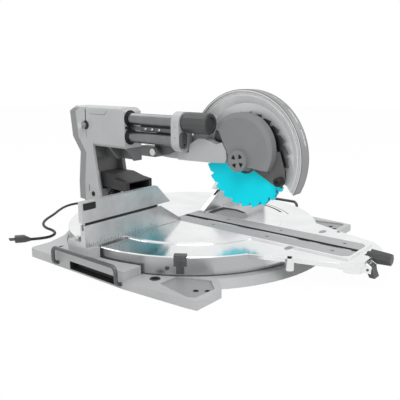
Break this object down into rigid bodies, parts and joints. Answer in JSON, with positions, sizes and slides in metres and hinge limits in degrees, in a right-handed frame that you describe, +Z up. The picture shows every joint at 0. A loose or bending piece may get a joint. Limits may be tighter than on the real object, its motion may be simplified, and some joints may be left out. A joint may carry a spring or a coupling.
{
  "type": "sliding mitre saw",
  "caption": "Sliding compound mitre saw on a wide cast base, with a turning table and fences, a leaning post with slide rails, and a hinged saw head with guards",
  "frame": {"origin": "centre of the four bench bolt holes at the level the feet stand on, on the mitre pivot axis", "axes": "+X to the operator's right, +Y to the rear along the slide, +Z up"},
  "size_m": [0.712, 1.0396, 0.3771],
  "materials": {
    "silver_casting": "silver-grey painted casting, fine texture",
    "polished_aluminium": "machined and polished aluminium",
    "guard_shell": "light grey painted shell",
    "cover_grey": "mid grey satin plastic",
    "dark_plastic": "dark grey textured plastic",
    "button_red": "red plastic",
    "pale_board": "pale grey kerf board plastic",
    "cyan_guard": "cyan tinted plastic",
    "bright_steel": "bright drawn steel",
    "blade_steel": "dark coated saw steel",
    "link_steel": "dark painted steel",
    "motor_steel": "laminated steel and copper",
    "bush_bronze": "sintered bronze",
    "black_rubber": "black rubber"
  },
  "bodies": {
    "base": {"base_casting": "silver_casting", "pivot_bolt": "bright_steel", "pivot_nut": "bright_steel", "fence_left": "polished_aluminium", "fence_right": "polished_aluminium", "fence_bolts": "bright_steel", "cord_gland": "black_rubber", "cord": "black_rubber", "plug": "dark_plastic"},
    "turntable": {"turntable_casting": "polished_aluminium", "kerf_boards": "pale_board", "kerf_screws": "bright_steel", "rim_pointer": "link_steel", "pointer_screw": "bright_steel", "bevel_shaft": "bright_steel", "bevel_nut": "bright_steel", "detent_pivot": "bright_steel"},
    "post": {"post_casting": "silver_casting", "stop_plug": "black_rubber", "rail_bushes": "bush_bronze", "wiper_rings": "black_rubber", "dust_chute": "dark_plastic"},
    "carriage": {"slide_rails": "bright_steel", "slide_bar": "link_steel", "front_bracket": "silver_casting", "head_pin": "bright_steel", "head_pin_nut": "bright_steel"},
    "head": {"head_arm": "silver_casting", "upper_guard": "guard_shell", "hub_cover": "cover_grey", "link_plate": "link_steel", "guard_bumper": "black_rubber", "gear_case": "silver_casting", "motor_housing": "cover_grey", "motor_stator": "motor_steel", "motor_end_cap": "cover_grey", "brush_caps": "cover_grey", "handle": "dark_plastic", "arbor_bearings": "bright_steel"},
    "lower_guard_body": {"lower_guard": "cyan_guard"},
    "blade_body": {"blade": "blade_steel", "blade_flanges": "bright_steel", "arbor_shaft": "bright_steel", "arbor_bolt": "bright_steel", "drive_gear": "bright_steel"},
    "armature_body": {"armature": "motor_steel"},
    "trigger_body": {"trigger": "dark_plastic"},
    "lock_off_button_body": {"lock_off_button": "button_red"},
    "lock_grip_body": {"lock_grip": "dark_plastic"},
    "latch_lever_body": {"latch_lever": "dark_plastic"},
    "slide_lock_screw_body": {"slide_lock_screw": "bright_steel"},
    "mitre_grip_body": {"mitre_grip": "dark_plastic"},
    "detent_lever_body": {"detent_lever": "dark_plastic"},
    "upper_fence_left_body": {"upper_fence_left": "polished_aluminium"},
    "upper_fence_right_body": {"upper_fence_right": "polished_aluminium"},
    "fence_clamp_left_body": {"fence_clamp_left": "dark_plastic"},
    "fence_clamp_right_body": {"fence_clamp_right": "dark_plastic"},
    "extension_rod_left_body": {"extension_rod_left": "link_steel"},
    "extension_rod_right_body": {"extension_rod_right": "link_steel"}
  },
  "joints": [
    {"name": "mitre", "type": "hinge", "parent": "base", "child": "turntable", "pos_m": [0, 0, 0.045], "axis": [0, 0, 1], "range_deg": [-47, 47]},
    {"name": "bevel", "type": "hinge", "parent": "turntable", "child": "post", "pos_m": [0, 0.325, 0.06], "axis": [0, -1, 0], "range_deg": [0, 35]},
    {"name": "head_slide", "type": "slide", "parent": "post", "child": "carriage", "axis": [0, -1, 0], "range_m": [-0.015, 0.09]},
    {"name": "chop", "type": "hinge", "parent": "carriage", "child": "head", "pos_m": [0, 0.1, 0.218], "axis": [1, 0, 0], "range_deg": [0, 12.5], "stiffness_Nm_per_rad": 24, "springref_deg": -63.03},
    {"name": "guard_swing", "type": "hinge", "parent": "head", "child": "lower_guard_body", "pos_m": [0, -0.1626, 0.2207], "axis": [1, 0, 0], "range_deg": [-125.5, 0.5]},
    {"name": "blade_spin", "type": "hinge", "parent": "head", "child": "blade_body", "pos_m": [0, -0.1626, 0.2207], "axis": [1, 0, 0], "continuous": true},
    {"name": "armature_spin", "type": "hinge", "parent": "head", "child": "armature_body", "pos_m": [0.1, -0.11956, 0.24555], "axis": [1, 0, 0], "continuous": true},
    {"name": "trigger_pull", "type": "slide", "parent": "head", "child": "trigger_body", "axis": [0, 0, 1], "range_m": [0, 0.004], "stiffness_N_per_m": 300, "springref_m": -0.003},
    {"name": "lock_off_press", "type": "slide", "parent": "head", "child": "lock_off_button_body", "axis": [-1, 0, 0], "range_m": [0, 0.003], "stiffness_N_per_m": 300, "springref_m": -0.003},
    {"name": "grip_turn", "type": "hinge", "parent": "carriage", "child": "lock_grip_body", "pos_m": [-0.036, -0.05, 0.298], "axis": [0, 1, 0], "range_deg": [0, 90]},
    {"name": "latch_swing", "type": "hinge", "parent": "carriage", "child": "latch_lever_body", "pos_m": [-0.05, -0.012, 0.246], "axis": [0, -1, 0], "range_deg": [0, 40]},
    {"name": "slide_lock_turn", "type": "hinge", "parent": "post", "child": "slide_lock_screw_body", "pos_m": [-0.07, 0.334, 0.275], "axis": [1, 0, 0], "range_deg": [0, 180]},
    {"name": "mitre_grip_turn", "type": "hinge", "parent": "turntable", "child": "mitre_grip_body", "pos_m": [0.01, -0.48, 0.052], "axis": [0, 1, 0], "range_deg": [0, 90]},
    {"name": "detent_press", "type": "hinge", "parent": "turntable", "child": "detent_lever_body", "pos_m": [-0.024, -0.474, 0.039], "axis": [-1, 0, 0], "range_deg": [0, 14], "stiffness_Nm_per_rad": 0.4, "springref_deg": -17.19},
    {"name": "fence_left_slide", "type": "slide", "parent": "base", "child": "upper_fence_left_body", "axis": [-1, 0, 0], "range_m": [0, 0.06]},
    {"name": "fence_right_slide", "type": "slide", "parent": "base", "child": "upper_fence_right_body", "axis": [1, 0, 0], "range_m": [0, 0.06]},
    {"name": "clamp_left_turn", "type": "hinge", "parent": "base", "child": "fence_clamp_left_body", "pos_m": [-0.25, 0.025, 0.1025], "axis": [0, 1, 0], "range_deg": [0, 120]},
    {"name": "clamp_right_turn", "type": "hinge", "parent": "base", "child": "fence_clamp_right_body", "pos_m": [0.25, 0.025, 0.1025], "axis": [0, 1, 0], "range_deg": [0, 120]},
    {"name": "rod_left_slide", "type": "slide", "parent": "base", "child": "extension_rod_left_body", "axis": [-1, 0, 0], "range_m": [0, 0.1]},
    {"name": "rod_right_slide", "type": "slide", "parent": "base", "child": "extension_rod_right_body", "axis": [1, 0, 0], "range_m": [0, 0.1]}
  ],
  "couplings": [
    {"joint": "guard_swing", "follows": "chop", "ratio": -10},
    {"joint": "armature_spin", "follows": "blade_spin", "ratio": -4.5}
  ]
}
